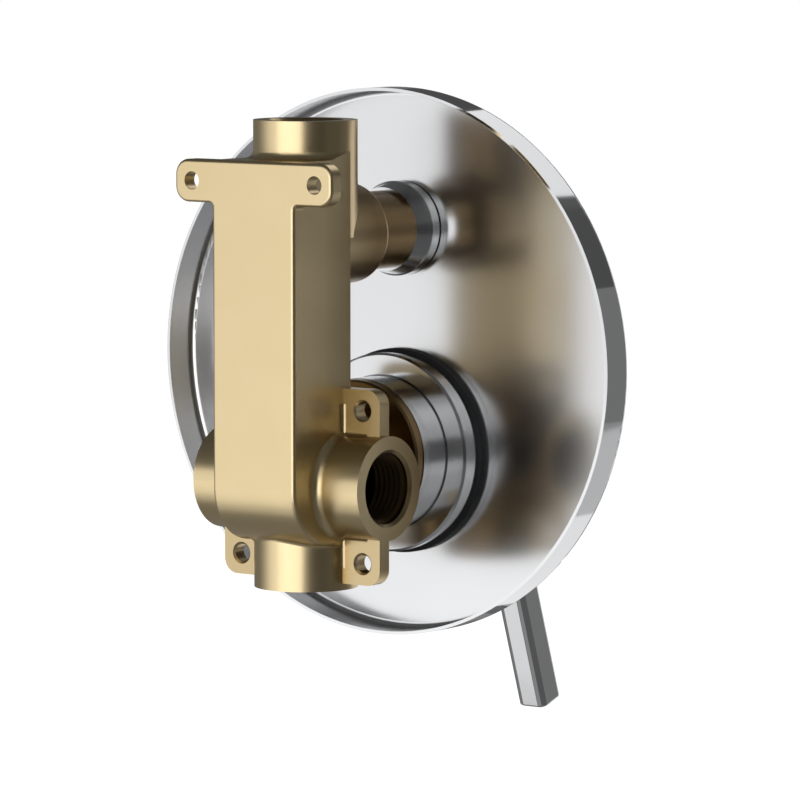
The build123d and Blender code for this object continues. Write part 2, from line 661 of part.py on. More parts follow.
# Clamping nut in the mouth of the chamber
with BuildPart() as cartridge_nut:
    turned(
        [
            (HOUSING_NECK_R + FIT, HOUSING_SHOULDER),
            (CHAMBER_BORE_R - FIT, HOUSING_SHOULDER),
            (CHAMBER_BORE_R - FIT, CHAMBER_FRONT),
            (NUT_HEAD_R, CHAMBER_FRONT),
            (NUT_HEAD_R, CHAMBER_FRONT - NUT_HEAD),
            (HOUSING_NECK_R + FIT, CHAMBER_FRONT - NUT_HEAD),
        ],
        CARTRIDGE_Z,
    )
    with BuildSketch(Plane.XZ.offset(-(CHAMBER_FRONT - NUT_HEAD))):
        with Locations((0, CARTRIDGE_Z)):
            with PolarLocations(NUT_HEAD_R, NUT_NOTCHES):
                Rectangle(NUT_NOTCH_WIDTH, NUT_NOTCH_WIDTH)
    extrude(amount=-NUT_HEAD, mode=Mode.SUBTRACT)
cartridge_nut.part.label = "cartridge_nut"
export_step(cartridge_nut.part, "parts/cartridge_nut.step")

# Cover sleeve: a tube that ends in a ball face round the stem's pivot
with BuildPart() as cover_sleeve:
    sleeve_back = SHOULDER_Y - FIT
    opening_out = sqrt(SLEEVE_R**2 - SLEEVE_OPENING_R**2)
    opening_in = sqrt(SLEEVE_BORE_R**2 - SLEEVE_OPENING_R**2)
    with BuildSketch(Plane.XY.offset(CARTRIDGE_Z)):
        with BuildLine():
            RadiusArc((SLEEVE_R, PIVOT_Y), (SLEEVE_OPENING_R, PIVOT_Y - opening_out), SLEEVE_R)
            Line((SLEEVE_OPENING_R, PIVOT_Y - opening_out), (SLEEVE_OPENING_R, PIVOT_Y - opening_in))
            RadiusArc((SLEEVE_OPENING_R, PIVOT_Y - opening_in), (SLEEVE_BORE_R, PIVOT_Y), -SLEEVE_BORE_R)
            Polyline(
                (SLEEVE_BORE_R, PIVOT_Y),
                (SLEEVE_BORE_R, sleeve_back),
                (SLEEVE_R, sleeve_back),
                (SLEEVE_R, PIVOT_Y),
            )
        make_face()
    revolve(axis=CARTRIDGE_AXIS)
cover_sleeve.part.label = "cover_sleeve"
export_step(cover_sleeve.part, "parts/cover_sleeve.step")

# Wall plate: a dish pressed from sheet, with holes for the ring and the collar
with BuildPart() as wall_plate:
    outer_bend = PLATE_BEND_R + PLATE_SHEET
    with BuildSketch(Plane.XY.offset(PLATE_Z)):
        with BuildLine():
            Polyline(
                (0, PLATE_BACK),
                (0, PLATE_FRONT),
                (PLATE_R - outer_bend, PLATE_FRONT),
            )
            RadiusArc(
                (PLATE_R - outer_bend, PLATE_FRONT),
                (PLATE_R, PLATE_FRONT + outer_bend),
                -outer_bend,
            )
            Polyline(
                (PLATE_R, PLATE_FRONT + outer_bend),
                (PLATE_R, PLATE_LIP),
                (PLATE_R - PLATE_SHEET, PLATE_LIP),
                (PLATE_R - PLATE_SHEET, PLATE_BACK + PLATE_BEND_R),
            )
            RadiusArc(
                (PLATE_R - PLATE_SHEET, PLATE_BACK + PLATE_BEND_R),
                (PLATE_R - outer_bend, PLATE_BACK),
                PLATE_BEND_R,
            )
            Line((PLATE_R - outer_bend, PLATE_BACK), (0, PLATE_BACK))
        make_face()
    revolve(axis=Axis((0, 0, PLATE_Z), (0, 1, 0)))
    tube(RING_SPIGOT_R + FIT, PLATE_BACK, PLATE_FRONT, CARTRIDGE_Z, mode=Mode.SUBTRACT)
    tube(COLLAR_SPIGOT_R + FIT, PLATE_BACK, PLATE_FRONT, DIVERTER_Z, mode=Mode.SUBTRACT)
wall_plate.part.label = "wall_plate"
export_step(wall_plate.part, "parts/wall_plate.step")

# Ring behind the plate, with the groove of its sleeve seal
with BuildPart() as plate_ring:
    seal_mid = (RING_BACK + GASKET_BACK) / 2
    turned(
        [
            (RING_BORE_R, RING_BACK - RING_BORE_EDGE),
            (RING_BORE_R + RING_BORE_EDGE, RING_BACK),
            (RING_R - RING_FACE_EDGE, RING_BACK),
            (RING_R, RING_BACK - RING_FACE_EDGE),
            (RING_R, RING_BACK - RING_STEP),
            (RING_R - RING_GROOVE, RING_BACK - RING_STEP),
            (RING_R - RING_GROOVE, RING_BACK - RING_STEP - RING_GROOVE),
            (RING_FRONT_R, RING_BACK - RING_STEP - RING_GROOVE),
            (RING_FRONT_R, GASKET_BACK),
            (RING_SPIGOT_R, GASKET_BACK),
            (RING_SPIGOT_R, PLATE_FRONT - SPIGOT_PROUD),
            (RING_BORE_R, PLATE_FRONT - SPIGOT_PROUD),
            (RING_BORE_R, seal_mid - SLEEVE_SEAL / 2),
            (SLEEVE_R + SLEEVE_SEAL, seal_mid - SLEEVE_SEAL / 2),
            (SLEEVE_R + SLEEVE_SEAL, seal_mid + SLEEVE_SEAL / 2),
            (RING_BORE_R, seal_mid + SLEEVE_SEAL / 2),
        ],
        CARTRIDGE_Z,
    )
plate_ring.part.label = "plate_ring"
export_step(plate_ring.part, "parts/plate_ring.step")

with BuildPart() as sleeve_seal:
    with BuildSketch(Plane.XY.offset(CARTRIDGE_Z)):
        with Locations((SLEEVE_R + SLEEVE_SEAL / 2, seal_mid)):
            Circle(SLEEVE_SEAL / 2)
    revolve(axis=CARTRIDGE_AXIS)
sleeve_seal.part.label = "sleeve_seal"
export_step(sleeve_seal.part, "parts/sleeve_seal.step")

with BuildPart() as plate_gasket:
    tube(GASKET_R, GASKET_BACK, PLATE_BACK, CARTRIDGE_Z, bore=RING_SPIGOT_R + FIT)
plate_gasket.part.label = "plate_gasket"
export_step(plate_gasket.part, "parts/plate_gasket.step")

# Diverter collar and its seal
with BuildPart() as diverter_collar:
    collar_bore = DIVERTER_THREAD_R + FIT
    turned(
        [
            (collar_bore, DIVERTER_NECK_FRONT),
            (COLLAR_FACE_R, DIVERTER_NECK_FRONT),
            (COLLAR_CONE_R, COLLAR_FRONT + COLLAR_BODY),
            (COLLAR_R, COLLAR_FRONT + COLLAR_BODY - (COLLAR_R - COLLAR_CONE_R)),
            (COLLAR_R, COLLAR_FRONT),
            (COLLAR_SPIGOT_R, COLLAR_FRONT),
            (COLLAR_SPIGOT_R, PLATE_FRONT - SPIGOT_PROUD),
            (collar_bore, PLATE_FRONT - SPIGOT_PROUD),
        ],
        DIVERTER_Z,
    )
diverter_collar.part.label = "diverter_collar"
export_step(diverter_collar.part, "parts/diverter_collar.step")

with BuildPart() as diverter_seal:
    tube(COLLAR_SEAL_R, COLLAR_FRONT, PLATE_BACK, DIVERTER_Z, bore=COLLAR_SPIGOT_R + FIT)
diverter_seal.part.label = "diverter_seal"
export_step(diverter_seal.part, "parts/diverter_seal.step")

# Diverter cartridge: shell with its seal, rotor, spindle with its seal and clip, gland nut
with BuildPart() as diverter_shell:
    turned(
        [
            (SHELL_BORE_R, DIVERTER_BORE_END),
            (SHELL_R, DIVERTER_BORE_END),
            (SHELL_R, SHELL_FRONT),
            (SPINDLE_R + RUN, SHELL_FRONT),
            (SPINDLE_R + RUN, FLANGE_FRONT - GAP),
            (SHELL_BORE_R, FLANGE_FRONT - GAP),
        ],
        DIVERTER_Z,
    )
    # Window to the upper outlet, and the side slot that leads back to the lower one
    way((0, 0, DIVERTER_Z), (0, 0, DIVERTER_Z + DIVERTER_BORE_R), ROTOR_PORT_R)
    with BuildSketch(Plane.YZ) as slot:
        with Locations(((DIVERTER_BORE_END - SHELL_SLOT_WIDTH / 2) / 2, DIVERTER_Z)):
            Rectangle(DIVERTER_BORE_END + SHELL_SLOT_WIDTH / 2, SHELL_SLOT_WIDTH)
    extrude(slot.sketch, amount=DIVERTER_BORE_R, mode=Mode.SUBTRACT)
    # Groove of the outer seal
    seal_groove = SHELL_SEAL + 2 * FIT
    tube(
        DIVERTER_BORE_R,
        SHELL_SEAL_Y + seal_groove / 2,
        SHELL_SEAL_Y - seal_groove / 2,
        DIVERTER_Z,
        bore=DIVERTER_BORE_R - SHELL_SEAL,
        mode=Mode.SUBTRACT,
    )
diverter_shell.part.label = "diverter_shell"
export_step(diverter_shell.part, "parts/diverter_shell.step")

with BuildPart() as shell_oring:
    with BuildSketch(Plane.XY.offset(DIVERTER_Z)):
        with Locations((DIVERTER_BORE_R - SHELL_SEAL / 2, SHELL_SEAL_Y)):
            Circle(SHELL_SEAL / 2)
    revolve(axis=DIVERTER_AXIS)
shell_oring.part.label = "shell_oring"
export_step(shell_oring.part, "parts/shell_oring.step")

with BuildPart() as diverter_rotor:
    tube(ROTOR_R, ROTOR_BACK, ROTOR_FRONT, DIVERTER_Z)
    tube(ROTOR_CAVITY_R, ROTOR_BACK, ROTOR_BACK - ROTOR_CAVITY_DEPTH, DIVERTER_Z, mode=Mode.SUBTRACT)
    way((0, 0, DIVERTER_Z), (0, 0, DIVERTER_Z + DIVERTER_BORE_R), ROTOR_PORT_R)
    with BuildSketch(Plane.XZ.offset(-ROTOR_FRONT)):
        with Locations((0, DIVERTER_Z)):
            Rectangle(2 * ROTOR_R, TONGUE_WIDTH)
    extrude(amount=-TONGUE_LENGTH - FIT, mode=Mode.SUBTRACT)
diverter_rotor.part.label = "diverter_rotor"
export_step(diverter_rotor.part, "parts/diverter_rotor.step")

with BuildPart() as diverter_spindle:
    seal_groove = SPINDLE_SEAL + 2 * FIT
    turned(
        [
            (0, ROTOR_FRONT),
            (ROTOR_R, ROTOR_FRONT),
            (ROTOR_R, FLANGE_FRONT),
            (SPINDLE_R, FLANGE_FRONT),
            (SPINDLE_R, SPINDLE_SEAL_Y + seal_groove / 2),
            (SPINDLE_R - SPINDLE_SEAL, SPINDLE_SEAL_Y + seal_groove / 2),
            (SPINDLE_R - SPINDLE_SEAL, SPINDLE_SEAL_Y - seal_groove / 2),
            (SPINDLE_R, SPINDLE_SEAL_Y - seal_groove / 2),
            (SPINDLE_R, CLIP_Y),
            (SPINDLE_R - CLIP_THICKNESS, CLIP_Y),
            (SPINDLE_R - CLIP_THICKNESS, CLIP_Y - CLIP_THICKNESS),
            (SPINDLE_R, CLIP_Y - CLIP_THICKNESS),
            (SPINDLE_R, SPINDLE_FRONT),
            (0, SPINDLE_FRONT),
        ],
        DIVERTER_Z,
    )
    with BuildSketch(Plane.XZ.offset(-ROTOR_FRONT)):
        with Locations((0, DIVERTER_Z)):
            Circle(ROTOR_R - GAP)
            Rectangle(2 * ROTOR_R, TONGUE_WIDTH - FIT, mode=Mode.INTERSECT)
    extrude(amount=-TONGUE_LENGTH)
    # Flat for the knob's grub screw, on the underside
    with BuildSketch(Plane.XZ.offset(-SPINDLE_FRONT)):
        with Locations((0, DIVERTER_Z - SPINDLE_FLAT - SPINDLE_R / 2)):
            Rectangle(2 * SPINDLE_R, SPINDLE_R)
    extrude(amount=-SPINDLE_FLAT_LENGTH, mode=Mode.SUBTRACT)
diverter_spindle.part.label = "diverter_spindle"
export_step(diverter_spindle.part, "parts/diverter_spindle.step")

with BuildPart() as spindle_oring:
    with BuildSketch(Plane.XY.offset(DIVERTER_Z)):
        with Locations((SPINDLE_R - SPINDLE_SEAL / 2, SPINDLE_SEAL_Y)):
            Circle(SPINDLE_SEAL / 2)
    revolve(axis=DIVERTER_AXIS)
spindle_oring.part.label = "spindle_oring"
export_step(spindle_oring.part, "parts/spindle_oring.step")

with BuildPart() as spindle_clip:
    tube(CLIP_R, CLIP_Y, CLIP_Y - CLIP_THICKNESS, DIVERTER_Z, bore=SPINDLE_R - CLIP_THICKNESS)
    with BuildSketch(Plane.XZ.offset(-CLIP_Y)):
        with Locations((0, DIVERTER_Z - CLIP_R / 2)):
            Rectangle(CLIP_MOUTH, CLIP_R)
    extrude(amount=CLIP_THICKNESS, mode=Mode.SUBTRACT)
spindle_clip.part.label = "spindle_clip"
export_step(spindle_clip.part, "parts/spindle_clip.step")

with BuildPart() as gland_nut:
    tube(SHELL_R, SHELL_FRONT, DIVERTER_MOUTH, DIVERTER_Z)
    with BuildSketch(Plane.XZ.offset(-DIVERTER_MOUTH)):
        with Locations((0, DIVERTER_Z)):
            RegularPolygon(GLAND_FLATS / 2, 6, major_radius=False)
    extrude(amount=GLAND_HEAD)
    tube(CLIP_R + GAP, SHELL_FRONT, DIVERTER_MOUTH - GLAND_HEAD, DIVERTER_Z, mode=Mode.SUBTRACT)
gland_nut.part.label = "gland_nut"
export_step(gland_nut.part, "parts/gland_nut.step")

# Diverter knob: round skirt with a grip bar, held by a grub screw from below
with BuildPart() as diverter_knob:
    tube(KNOB_R, KNOB_BACK, KNOB_SKIRT_FRONT, DIVERTER_Z)
    with BuildSketch(Plane.XZ.offset(-KNOB_SKIRT_FRONT)):
        with Locations((0, DIVERTER_Z)):
            Circle(KNOB_R - KNOB_EDGE)
            Rectangle(KNOB_GRIP_WIDTH, 2 * KNOB_R, mode=Mode.INTERSECT)
    extrude(amount=KNOB_GRIP)
    grip_face = diverter_knob.faces().sort_by(Axis.Y)[0]
    fillet(grip_face.edges(), KNOB_EDGE)
    skirt_rims = diverter_knob.edges().filter_by(GeomType.CIRCLE).filter_by(
        lambda e: abs(e.radius - KNOB_R) < TOUCH
    )
    fillet(skirt_rims, KNOB_EDGE / 2)
    tube(SPINDLE_R + RUN, KNOB_BACK, SPINDLE_FRONT - GAP, DIVERTER_Z, mode=Mode.SUBTRACT)
    way((0, KNOB_GRUB_Y, DIVERTER_Z), (0, KNOB_GRUB_Y, DIVERTER_Z - KNOB_R), KNOB_GRUB_R + RUN)
diverter_knob.part.label = "diverter_knob"
export_step(diverter_knob.part, "parts/diverter_knob.step")

with BuildPart() as knob_grub_screw:
    with BuildSketch(DOWN.offset(SPINDLE_FLAT - DIVERTER_Z)):
        with Locations((0, -KNOB_GRUB_Y)):
            Circle(KNOB_GRUB_R)
    extrude(amount=KNOB_GRUB_LENGTH)
    with BuildSketch(DOWN.offset(SPINDLE_FLAT - DIVERTER_Z + KNOB_GRUB_LENGTH)):
        with Locations((0, -KNOB_GRUB_Y)):
            RegularPolygon(KNOB_GRUB_SOCKET_R, 6)
    extrude(amount=-KNOB_GRUB_SOCKET_DEPTH, mode=Mode.SUBTRACT)
knob_grub_screw.part.label = "knob_grub_screw"
export_step(knob_grub_screw.part, "parts/knob_grub_screw.step")

# Handle: a short cylinder hollowed to clear the sleeve's ball face, with its lever
with BuildPart() as handle_body:
    tube(HANDLE_R, HANDLE_BACK, HANDLE_FRONT, CARTRIDGE_Z)
    handle_rims = handle_body.edges().filter_by(GeomType.CIRCLE).group_by(Axis.Y)
    fillet(handle_rims[0], HANDLE_EDGE)
    with Locations((0, PIVOT_Y, CARTRIDGE_Z)):
        Sphere(SLEEVE_R + DOME_GAP, mode=Mode.SUBTRACT)
    with BuildSketch(STEM_PLANE):
        Rectangle(STEM_SQUARE + FIT, STEM_SQUARE + FIT)
    extrude(amount=STEM_SOCKET, mode=Mode.SUBTRACT)
    with BuildSketch(LEVER_PLANE.offset(LEVER_SEAT)):
        RectangleRounded(LEVER_SECTION + FIT, LEVER_SECTION + FIT, LEVER_CORNER_R)
    extrude(amount=HANDLE_R, mode=Mode.SUBTRACT)
    with BuildSketch(LEVER_PLANE.offset(LEVER_SEAT - LEVER_STUD_LENGTH - FIT)):
        Circle(LEVER_STUD_R + RUN)
    extrude(amount=LEVER_STUD_LENGTH + FIT, mode=Mode.SUBTRACT)
    with BuildSketch(GRUB_PLANE):
        Circle(GRUB_R + RUN)
    extrude(amount=HANDLE_R, mode=Mode.SUBTRACT)
    with BuildSketch(GRUB_PLANE.offset(PLUG_AT)):
        Circle(PLUG_R + RUN)
    extrude(amount=HANDLE_R, mode=Mode.SUBTRACT)
handle_body.part.label = "handle_body"
export_step(handle_body.part, "parts/handle_body.step")

with BuildPart() as lever:
    with BuildSketch(LEVER_PLANE.offset(LEVER_SEAT)):
        RectangleRounded(LEVER_SECTION, LEVER_SECTION, LEVER_CORNER_R)
    extrude(amount=LEVER_END - LEVER_SEAT)
    end_face = lever.faces().sort_by(Axis.Z)[0]
    fillet(end_face.edges(), LEVER_END_EDGE)
    with BuildSketch(LEVER_PLANE.offset(LEVER_SEAT)):
        Circle(LEVER_STUD_R)
    extrude(amount=-LEVER_STUD_LENGTH)
lever.part.label = "lever"
export_step(lever.part, "parts/lever.step")

with BuildPart() as handle_grub_screw:
    with BuildSketch(GRUB_PLANE.offset(STEM_SQUARE / 2)):
        Circle(GRUB_R)
    extrude(amount=GRUB_LENGTH)
    with BuildSketch(GRUB_PLANE.offset(STEM_SQUARE / 2 + GRUB_LENGTH)):
        RegularPolygon(GRUB_SOCKET_R, 6)
    extrude(amount=-GRUB_SOCKET_DEPTH, mode=Mode.SUBTRACT)
handle_grub_screw.part.label = "handle_grub_screw"
export_step(handle_grub_screw.part, "parts/handle_grub_screw.step")

with BuildPart() as grub_plug:
    with BuildSketch(GRUB_PLANE.offset(PLUG_AT)):
        Circle(PLUG_R)
    extrude(amount=PLUG_THICKNESS)
grub_plug.part.label = "grub_plug"
export_step(grub_plug.part, "parts/grub_plug.step")
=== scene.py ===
import bpy
import math
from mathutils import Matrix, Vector


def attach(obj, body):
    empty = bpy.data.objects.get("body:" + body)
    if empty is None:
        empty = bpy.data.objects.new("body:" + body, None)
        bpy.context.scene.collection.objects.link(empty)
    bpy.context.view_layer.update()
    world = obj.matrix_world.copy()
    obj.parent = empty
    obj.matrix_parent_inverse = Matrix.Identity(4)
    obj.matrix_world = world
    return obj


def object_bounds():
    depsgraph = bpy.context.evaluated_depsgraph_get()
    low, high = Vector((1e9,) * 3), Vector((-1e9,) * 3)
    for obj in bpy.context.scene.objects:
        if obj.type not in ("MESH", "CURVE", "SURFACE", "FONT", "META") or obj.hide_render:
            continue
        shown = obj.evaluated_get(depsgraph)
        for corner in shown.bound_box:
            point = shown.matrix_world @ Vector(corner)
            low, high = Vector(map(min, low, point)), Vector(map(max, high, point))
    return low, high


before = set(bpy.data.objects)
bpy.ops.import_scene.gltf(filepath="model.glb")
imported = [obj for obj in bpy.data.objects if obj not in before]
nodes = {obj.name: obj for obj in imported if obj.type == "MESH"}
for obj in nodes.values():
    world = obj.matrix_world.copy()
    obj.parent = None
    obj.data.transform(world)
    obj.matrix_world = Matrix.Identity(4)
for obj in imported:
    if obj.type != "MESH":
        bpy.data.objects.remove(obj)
cad_low, cad_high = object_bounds()
scene = bpy.context.scene
scene.view_settings.view_transform = "Standard"

# Camera
# It looks at the mixer from behind the wall, a little from above and from the hot side. Its long lens keeps
# the edges of the casting nearly parallel.
camera_aim = Vector((-0.0502, 0.0212, 0.0289))
camera_azimuth, camera_elevation, camera_distance = 216.47, 5.56, 1.5
camera_lens, camera_sensor = 235.76, 36.0


def stand(thing, target, azimuth, elevation, distance):
    """Place a camera or lamp round a target and turn it there.

    The angles are in degrees. Azimuth 0 is the room, 90 the cold side, 180 the wall and 270 the hot side.
    """
    scene.collection.objects.link(thing)
    around, up = math.radians(azimuth), math.radians(elevation)
    away = Vector((math.sin(around) * math.cos(up), -math.cos(around) * math.cos(up), math.sin(up)))
    thing.location = target + away * distance
    thing.rotation_mode = "QUATERNION"
    thing.rotation_quaternion = away.to_track_quat("Z", "Y")


camera = bpy.data.objects.new("camera", bpy.data.cameras.new("camera"))
camera.data.lens = camera_lens
camera.data.sensor_width = camera_sensor
stand(camera, camera_aim, camera_azimuth, camera_elevation, camera_distance)
scene.camera = camera

# Backdrop
# The world is white to the camera and in reflections. To all else it is dimmer, and gives the matt pieces an
# even soft light.
white = (1, 1, 1, 1)
seen_strength, light_strength = 1.0, 0.45


def fill(tree, socket, value):
    """Give an input socket a plain value, or link it to the socket that its value comes from."""
    if isinstance(value, bpy.types.NodeSocket):
        tree.links.new(value, socket)
    else:
        socket.default_value = value


def set_inputs(tree, node, **values):
    """Fill a node's inputs by their names, written with _ for a space."""
    for name, value in values.items():
        fill(tree, node.inputs[name.replace("_", " ")], value)


def add_node(tree, kind, *in_order, **by_name):
    """A new node, with its inputs filled in their order or by name."""
    node = tree.nodes.new(kind)
    for socket, value in zip(node.inputs, in_order):
        fill(tree, socket, value)
    set_inputs(tree, node, **by_name)
    return node


def calculate(tree, operation, *in_order):
    """The result of one Math node."""
    node = add_node(tree, "ShaderNodeMath", *in_order)
    node.operation = operation
    return node.outputs[0]


def seen_directly(tree):
    """A mask that is 1 where the camera, a reflection or a clear piece sees the surface."""
    rays = add_node(tree, "ShaderNodeLightPath").outputs
    seen = calculate(tree, "MAXIMUM", rays["Is Camera Ray"], rays["Is Glossy Ray"])
    return calculate(tree, "MAXIMUM", seen, rays["Is Transmission Ray"])


world = bpy.data.worlds.new("studio")
scene.world = world
world.use_nodes = True
world_tree = world.node_tree
world_tree.nodes.clear()
light_sky = add_node(world_tree, "ShaderNodeBackground", Color=white, Strength=light_strength).outputs[0]
seen_sky = add_node(world_tree, "ShaderNodeBackground", Color=white, Strength=seen_strength).outputs[0]
sky = add_node(world_tree, "ShaderNodeMixShader", seen_directly(world_tree), light_sky, seen_sky).outputs[0]
add_node(world_tree, "ShaderNodeOutputWorld", Surface=sky)

# Floor
# A pale matt floor lies well below the lever. It glows just enough to be white to the camera, and still
# keeps the mixer's shadow.
floor_size, floor_drop, floor_glow = 12.0, 0.16, 0.64
floor_grey, floor_roughness = (0.88, 0.88, 0.88, 1), 0.9


def new_material(name, **values):
    """A material, its tree and its shader, whose inputs are filled by name."""
    material = bpy.data.materials.new(name)
    material.use_nodes = True
    shader = material.node_tree.nodes["Principled BSDF"]
    set_inputs(material.node_tree, shader, **values)
    return material, material.node_tree, shader


pale_floor, tree, shader = new_material(
    "pale_floor", Base_Color=floor_grey, Roughness=floor_roughness, Specular_IOR_Level=0.0, Emission_Color=white
)
set_inputs(tree, shader, Emission_Strength=calculate(tree, "MULTIPLY", seen_directly(tree), floor_glow))
bpy.ops.object.select_all(action="DESELECT")
bpy.ops.mesh.primitive_plane_add(size=floor_size, location=(0, 0, cad_low.z - floor_drop))
floor = bpy.context.object
floor.name = "floor"
floor.data.materials.append(pale_floor)
floor.visible_glossy = False

# Lamp
# One soft box overhead lights rubber and plastic, and casts the shadow on the floor. No metal mirrors it,
# because the cards give the metal its tones.
studio_centre = Vector((0, -0.02, 0.03))
lamp_azimuth, lamp_elevation, lamp_distance = 190, 60, 1.6
lamp_size, lamp_watts = 1.0, 14.0
lamp = bpy.data.lights.new("overhead_box", "AREA")
lamp.size, lamp.energy = lamp_size, lamp_watts
overhead_box = bpy.data.objects.new("overhead_box", lamp)
stand(overhead_box, studio_centre, lamp_azimuth, lamp_elevation, lamp_distance)
overhead_box.visible_glossy = False

# Grey cards
# A tent of grey and white card stands round the mixer, with a bright sheet on the wall side. Bare metal
# mirrors its tones as the dark, mid and bright bands of its faces. The camera doesn't see the tent.
tent_radius, tent_segments, tent_rings = 2.0, 180, 90
ceiling_grey, ground_grey = 0.08, 0.2
cards = (
    # azimuth from and to, elevation from and to, grey (1 is white); where cards overlap, the first one counts
    (0, 25, 27, 50, 1.0),
    (0, 14, -20, 12, 0.8),
    (350, 360, -20, 12, 0.8),
    (0, 60, 10, 50, 0.08),
    (0, 60, -20, 10, 0.16),
    (0, 25, -50, -27, 1.0),
    (0, 60, -50, -20, 0.24),
    (60, 100, -25, 20, 0.2),
    (60, 150, 14, 50, 0.10),
    (126, 141, -42, -30, 0.95),
    (60, 150, -50, -30, 0.24),
    (100, 115, -30, 14, 0.36),
    (115, 128, -30, 14, 0.7),
    (128, 154, -30, -7, 1.26),
    (128, 154, -7, 14, 1.08),
    (154, 211, -18, 16, 2.0),
    (154, 211, 16, 36, 0.8),
    (154, 211, -36, -18, 0.5),
    (150, 211, 14, 50, 0.1),
    (150, 211, -50, -30, 0.3),
    (211, 262, -10, 10, 0.05),
    (211, 225, 10, 36, 0.4),
    (211, 225, -36, -10, 0.5),
    (211, 262, -50, 50, 0.12),
    (262, 305, -50, 20, 0.12),
    (262, 345, 16, 50, 0.09),
    (305, 360, -17, 16, 0.21),
    (345, 360, 27, 50, 1.0),
    (345, 360, 16, 27, 0.2),
    (345, 360, -50, -27, 1.0),
    (328, 345, -50, -17, 0.6),
    (305, 328, -50, -17, 0.3),
)
bpy.ops.object.select_all(action="DESELECT")
bpy.ops.mesh.primitive_uv_sphere_add(segments=tent_segments, ring_count=tent_rings, radius=tent_radius)
tent = bpy.context.object
tent.name = "grey_cards"
for grey in [card[-1] for card in cards] + [ceiling_grey, ground_grey]:
    grey_card, tree, shader = new_material(
        "grey_card", Base_Color=(0, 0, 0, 1), Specular_IOR_Level=0.0, Emission_Color=white, Emission_Strength=grey
    )
    tent.data.materials.append(grey_card)
ceiling_slot, ground_slot = len(cards), len(cards) + 1
for face in tent.data.polygons:
    direction = face.center.normalized()
    azimuth = math.degrees(math.atan2(direction.x, -direction.y)) % 360
    elevation = math.degrees(math.asin(direction.z))
    face.material_index = ceiling_slot if elevation > 0 else ground_slot
    for slot, (start, end, low, high, grey) in enumerate(cards):
        if start <= azimuth < end and low <= elevation < high:
            face.material_index = slot
            break
tent.location = studio_centre
tent.visible_camera = False
tent.visible_diffuse = False
tent.visible_shadow = False

# Valve body
# One brass casting with a fine satin skin, blasted after it is fettled. Its pipe ends are faced on a lathe
# afterwards, so they show fine rings. Its bores are painted near black as shade, and towards the room its skin
# gets painted shade, darker and browner.
brass_light, brass_dark = (0.70, 0.567, 0.337, 1), (0.68, 0.547, 0.317, 1)
# Painted shade: the dark brown the skin fades to towards the room, and where that fade starts and ends.
painted_room_shade, painted_shade_from_y, painted_shade_to_y = (0.25, 0.168, 0.078, 1), 0.011, -0.016
skin_cloud_scale, skin_grain_scale = 70.0, 110.0
skin_smoothest, skin_roughest = 0.283, 0.315
skin_bump_strength, skin_bump_height = 0.5, 0.0000008
# Painted shade: the near black of the bores and threads.
bore_painted_shade, bore_added_roughness = (0.06, 0.04, 0.019, 1), 0.2
bore_radius, bore_depth = 0.01052, 0.0151
faced_side_x, faced_top_z, faced_low_z = 0.03034, 0.10714, -0.03084
facing_pitch, facing_bump_strength, facing_bump_height = 0.0003, 0.35, 0.00002
noise_low, noise_high, noise_detail = 0.2, 0.8, 1.0
grit_fineness = 8.0
turning_noise_scale, turning_noise_detail = 0.35, 2.0
mix_sockets = {"FLOAT": (2, 3, 0), "RGBA": (6, 7, 2)}


def new_group(name, inputs, outputs):
    """A node group, the sockets that bring its inputs in, and those that take its results out."""
    group = bpy.data.node_groups.new(name, "ShaderNodeTree")
    for direction, sockets in (("INPUT", inputs), ("OUTPUT", outputs)):
        for socket_name, kind in sockets.items():
            group.interface.new_socket(socket_name, in_out=direction, socket_type="NodeSocket" + kind)
    return group, group.nodes.new("NodeGroupInput").outputs, group.nodes.new("NodeGroupOutput").inputs


def add_group(tree, group, **values):
    """The outputs of a node group placed in a tree, with its inputs filled by name."""
    node = tree.nodes.new("ShaderNodeGroup")
    node.node_tree = group
    set_inputs(tree, node, **values)
    return node.outputs


def mix(tree, kind, factor, first, second):
    """A number or colour between two others. Each kind of mix has two inputs and an output of its own."""
    node = add_node(tree, "ShaderNodeMix", factor)
    node.data_type = kind
    first_input, second_input, output = mix_sockets[kind]
    fill(tree, node.inputs[first_input], first)
    fill(tree, node.inputs[second_input], second)
    return node.outputs[output]


def own_place(tree):
    """The place on a piece in its own coordinates, in metres."""
    return add_node(tree, "ShaderNodeTexCoord").outputs["Object"]


def distance_from_axis(tree, first, second):
    """Distance of a place from an axis, from its two coordinates across that axis."""
    across = add_node(tree, "ShaderNodeCombineXYZ", first, second).outputs[0]
    length = add_node(tree, "ShaderNodeVectorMath", across)
    length.operation = "LENGTH"
    return length.outputs["Value"]


def dress(material, *names):
    """Give the named solids one material."""
    for name in names:
        nodes[name].data.materials.clear()
        nodes[name].data.materials.append(material)


clouding, given, result = new_group(
    "clouding", {"Vector": "Vector", "Scale": "Float", "Light": "Color", "Dark": "Color"}, {"Color": "Color"}
)
cloud = add_node(
    clouding, "ShaderNodeTexNoise", Vector=given["Vector"], Scale=given["Scale"], Detail=noise_detail
).outputs[0]
spread = add_node(clouding, "ShaderNodeMapRange", Value=cloud, From_Min=noise_low, From_Max=noise_high).outputs[0]
fill(clouding, result["Color"], mix(clouding, "RGBA", spread, given["Light"], given["Dark"]))

